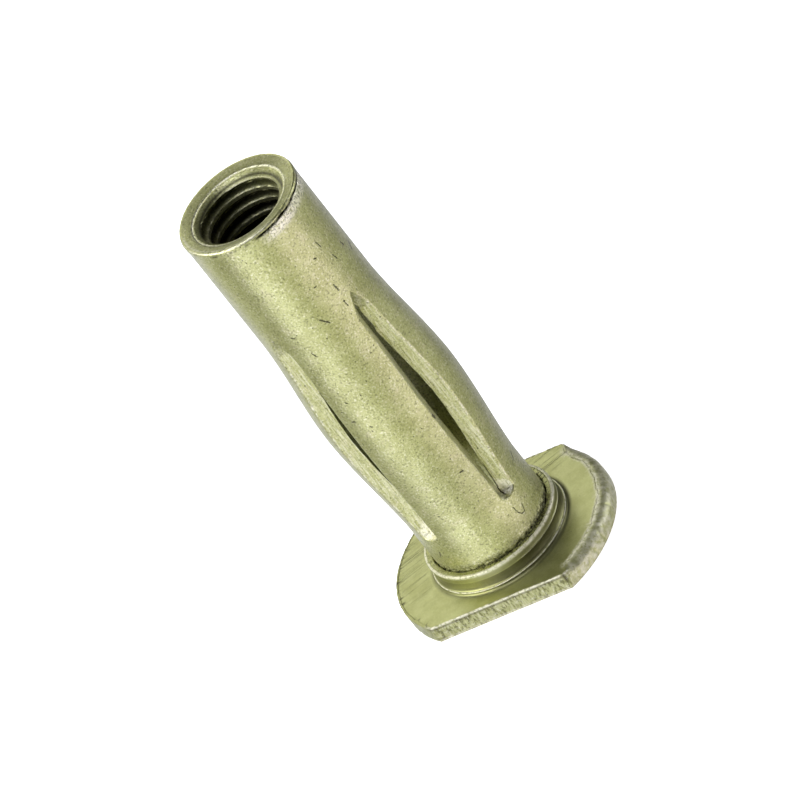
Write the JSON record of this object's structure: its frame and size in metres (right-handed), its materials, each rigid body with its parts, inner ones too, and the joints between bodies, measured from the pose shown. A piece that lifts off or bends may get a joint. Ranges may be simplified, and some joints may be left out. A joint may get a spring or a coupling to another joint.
{
  "type": "wall anchor",
  "caption": "Slotted expanding wall anchor: an internally threaded sleeve on a collared flange, with strips that fold outward behind the wall as the screw is driven.",
  "frame": {"origin": "centre of the flange's outer face, where the screw enters", "axes": "+Z along the sleeve, from the flange to the threaded open end; strip 1 faces -Y"},
  "size_m": [0.0242, 0.0223, 0.0512],
  "materials": {
    "flange_zinc": "pale yellow-green chromate over zinc, satin, turned collar",
    "sleeve_zinc": "pale yellow-green chromate over zinc, satin, finely pitted",
    "thread_zinc": "cut thread under the same plating"
  },
  "bodies": {
    "base": {"flange": "flange_zinc", "sleeve_foot": "sleeve_zinc"},
    "rib_1_lower": {"rib_1_lower": "sleeve_zinc"},
    "rib_1_upper": {"rib_1_upper": "sleeve_zinc"},
    "nose": {"threaded_nose": "thread_zinc", "rib_1_crown": "sleeve_zinc"},
    "rib_2_lower": {"rib_2_lower": "sleeve_zinc"},
    "rib_2_upper": {"rib_2_upper": "sleeve_zinc"},
    "rib_2_crown": {"rib_2_crown": "sleeve_zinc"},
    "rib_3_lower": {"rib_3_lower": "sleeve_zinc"},
    "rib_3_upper": {"rib_3_upper": "sleeve_zinc"},
    "rib_3_crown": {"rib_3_crown": "sleeve_zinc"},
    "rib_4_lower": {"rib_4_lower": "sleeve_zinc"},
    "rib_4_upper": {"rib_4_upper": "sleeve_zinc"},
    "rib_4_crown": {"rib_4_crown": "sleeve_zinc"}
  },
  "joints": [
    {"name": "rib_1_foot_bend", "type": "hinge", "parent": "base", "child": "rib_1_lower", "pos_m": [0, -0.00668, 0.0118], "axis": [1, 0, 0], "range_deg": [0, 75]},
    {"name": "rib_1_elbow", "type": "hinge", "parent": "rib_1_lower", "child": "rib_1_upper", "pos_m": [0, -0.00471, 0.0231], "axis": [1, 0, 0], "range_deg": [-150, 0]},
    {"name": "rib_1_crown_bend", "type": "hinge", "parent": "rib_1_upper", "child": "nose", "pos_m": [0, -0.00668, 0.0344], "axis": [1, 0, 0], "range_deg": [0, 75]},
    {"name": "rib_2_foot_bend", "type": "hinge", "parent": "base", "child": "rib_2_lower", "pos_m": [0.00668, 0, 0.0118], "axis": [0, 1, 0], "range_deg": [0, 75]},
    {"name": "rib_2_elbow", "type": "hinge", "parent": "rib_2_lower", "child": "rib_2_upper", "pos_m": [0.00471, 0, 0.0231], "axis": [0, 1, 0], "range_deg": [-150, 0]},
    {"name": "rib_2_crown_bend", "type": "hinge", "parent": "rib_2_upper", "child": "rib_2_crown", "pos_m": [0.00668, 0, 0.0344], "axis": [0, 1, 0], "range_deg": [0, 75]},
    {"name": "rib_3_foot_bend", "type": "hinge", "parent": "base", "child": "rib_3_lower", "pos_m": [0, 0.00668, 0.0118], "axis": [-1, 0, 0], "range_deg": [0, 75]},
    {"name": "rib_3_elbow", "type": "hinge", "parent": "rib_3_lower", "child": "rib_3_upper", "pos_m": [0, 0.00471, 0.0231], "axis": [-1, 0, 0], "range_deg": [-150, 0]},
    {"name": "rib_3_crown_bend", "type": "hinge", "parent": "rib_3_upper", "child": "rib_3_crown", "pos_m": [0, 0.00668, 0.0344], "axis": [-1, 0, 0], "range_deg": [0, 75]},
    {"name": "rib_4_foot_bend", "type": "hinge", "parent": "base", "child": "rib_4_lower", "pos_m": [-0.00668, 0, 0.0118], "axis": [0, -1, 0], "range_deg": [0, 75]},
    {"name": "rib_4_elbow", "type": "hinge", "parent": "rib_4_lower", "child": "rib_4_upper", "pos_m": [-0.00471, 0, 0.0231], "axis": [0, -1, 0], "range_deg": [-150, 0]},
    {"name": "rib_4_crown_bend", "type": "hinge", "parent": "rib_4_upper", "child": "rib_4_crown", "pos_m": [-0.00668, 0, 0.0344], "axis": [0, -1, 0], "range_deg": [0, 75]}
  ],
  "couplings": [
    {"joint": "rib_1_elbow", "follows": "rib_1_foot_bend", "ratio": -2},
    {"joint": "rib_1_crown_bend", "follows": "rib_1_foot_bend", "ratio": 1},
    {"joint": "rib_2_foot_bend", "follows": "rib_1_foot_bend", "ratio": 1},
    {"joint": "rib_2_elbow", "follows": "rib_1_foot_bend", "ratio": -2},
    {"joint": "rib_2_crown_bend", "follows": "rib_1_foot_bend", "ratio": 1},
    {"joint": "rib_3_foot_bend", "follows": "rib_1_foot_bend", "ratio": 1},
    {"joint": "rib_3_elbow", "follows": "rib_1_foot_bend", "ratio": -2},
    {"joint": "rib_3_crown_bend", "follows": "rib_1_foot_bend", "ratio": 1},
    {"joint": "rib_4_foot_bend", "follows": "rib_1_foot_bend", "ratio": 1},
    {"joint": "rib_4_elbow", "follows": "rib_1_foot_bend", "ratio": -2},
    {"joint": "rib_4_crown_bend", "follows": "rib_1_foot_bend", "ratio": 1}
  ]
}
